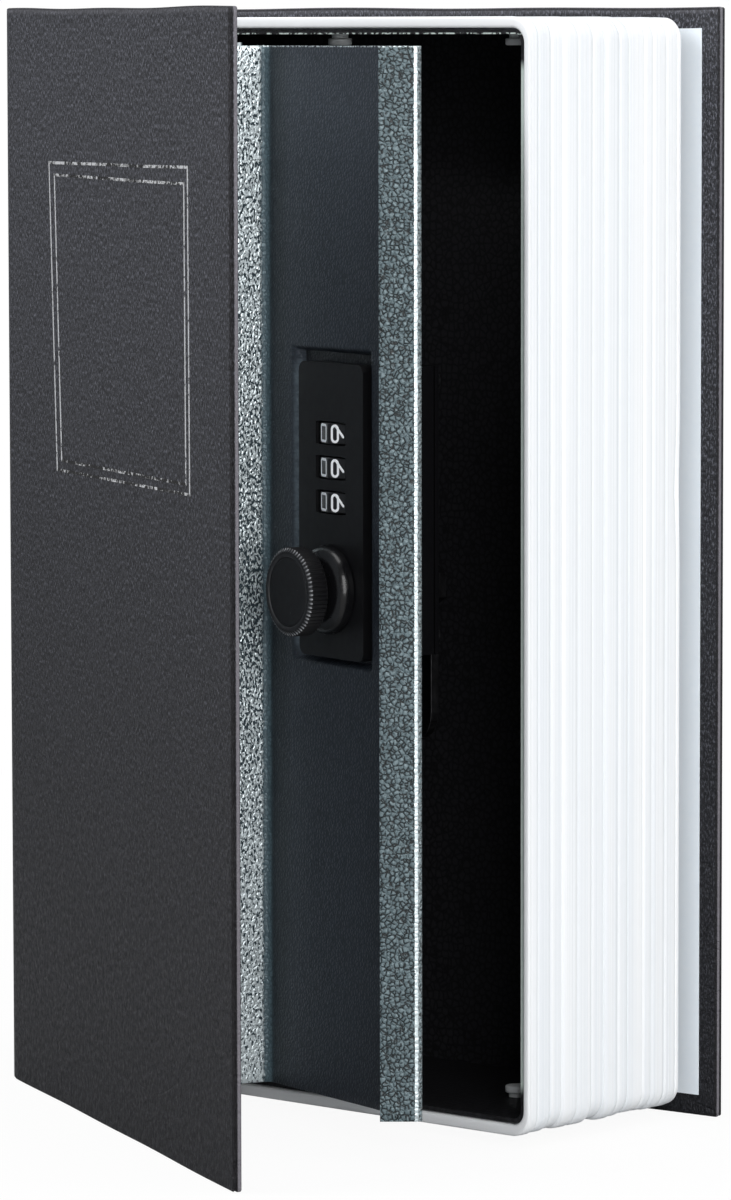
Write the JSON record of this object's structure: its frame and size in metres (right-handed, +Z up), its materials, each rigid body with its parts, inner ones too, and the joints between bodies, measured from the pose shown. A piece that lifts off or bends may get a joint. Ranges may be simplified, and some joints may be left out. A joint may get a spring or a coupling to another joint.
{
  "type": "book safe",
  "caption": "Book-shaped safe: hinged leatherette covers, moulded page block, steel box and a combination-locked steel door behind the front cover.",
  "frame": {"origin": "middle of the back cover's bottom edge, where the standing book meets the shelf", "axes": "+X from the spine to the page edges, +Y from the front cover to the back cover, +Z up along the book's height"},
  "size_m": [0.1569, 0.1353, 0.24],
  "materials": {
    "leatherette": "fine-grained charcoal leatherette, half matt",
    "greyboard": "raw grey board",
    "endpaper": "pale blue-grey matt paper",
    "white_moulding": "white moulded plastic, half gloss",
    "box_paint": "black paint, half matt",
    "hammered_paint": "blue-grey hammered paint",
    "black_plastic": "black plastic, half matt",
    "wheel_plastic": "black plastic with white numbers",
    "zinc_steel": "zinc plated",
    "spring_steel": "bright",
    "brass": "turned"
  },
  "bodies": {
    "book": {"back_endpaper": "endpaper", "back_board": "greyboard", "back_cover_wrap": "leatherette", "spine_board": "greyboard", "spine_wrap": "leatherette", "rear_joint_strip": "leatherette", "front_joint_strip": "leatherette", "page_shell": "white_moulding", "steel_box": "box_paint", "lower_stud_1": "white_moulding", "lower_stud_2": "white_moulding", "lower_stud_3": "white_moulding", "upper_stud_1": "white_moulding", "upper_stud_2": "white_moulding", "upper_stud_3": "white_moulding", "lower_pivot_bush": "brass", "upper_pivot_bush": "brass", "latch_keeper": "zinc_steel"},
    "front_cover": {"front_endpaper": "endpaper", "front_board": "greyboard", "front_cover_wrap": "leatherette"},
    "door": {"door_panel": "hammered_paint", "lower_pivot_pin": "zinc_steel", "upper_pivot_pin": "zinc_steel", "lock_faceplate": "black_plastic", "lock_case": "black_plastic", "lock_back_plate": "zinc_steel", "lock_screw_1": "zinc_steel", "lock_screw_2": "zinc_steel", "lock_screw_3": "zinc_steel", "lock_screw_4": "zinc_steel", "wheel_shaft": "zinc_steel", "detent_spring_1": "spring_steel", "detent_spring_2": "spring_steel", "detent_spring_3": "spring_steel", "fence_bar": "brass", "knob_collar": "black_plastic"},
    "knob_and_latch": {"knob": "black_plastic", "knob_spindle": "zinc_steel", "latch_cam": "zinc_steel", "cam_nut": "zinc_steel"},
    "change_slider": {"change_slider": "black_plastic"},
    "wheel_1": {"number_wheel_1": "wheel_plastic", "code_disc_1": "brass"},
    "wheel_2": {"number_wheel_2": "wheel_plastic", "code_disc_2": "brass"},
    "wheel_3": {"number_wheel_3": "wheel_plastic", "code_disc_3": "brass"}
  },
  "joints": [
    {"name": "cover_hinge", "type": "hinge", "parent": "book", "child": "front_cover", "pos_m": [-0.07575, -0.0526, 0], "axis": [0, 0, -1], "range_deg": [-27.5, 130], "deforming": ["front_joint_strip"]},
    {"name": "door_hinge", "type": "hinge", "parent": "book", "child": "door", "pos_m": [-0.0648, -0.0481, 0], "axis": [0, 0, -1], "range_deg": [-15.12, 71.5]},
    {"name": "knob_turn", "type": "hinge", "parent": "door", "child": "knob_and_latch", "pos_m": [0.03381, -0.06843, 0.1173], "axis": [-0.2609, -0.9654, 0], "range_deg": [0, 90]},
    {"name": "change_slide", "type": "slide", "parent": "door", "child": "change_slider", "axis": [0.9654, -0.2609, 0], "range_m": [0, 0.003]},
    {"name": "wheel_1_turn", "type": "hinge", "parent": "door", "child": "wheel_1", "pos_m": [0.03543, -0.06245, 0.1504], "axis": [0, 0, 1], "continuous": true},
    {"name": "wheel_2_turn", "type": "hinge", "parent": "door", "child": "wheel_2", "pos_m": [0.03543, -0.06245, 0.1431], "axis": [0, 0, 1], "continuous": true},
    {"name": "wheel_3_turn", "type": "hinge", "parent": "door", "child": "wheel_3", "pos_m": [0.03543, -0.06245, 0.1358], "axis": [0, 0, 1], "continuous": true}
  ],
  "couplings": [
    {"joint": "door_hinge", "follows": "cover_hinge", "ratio": 0.55}
  ]
}
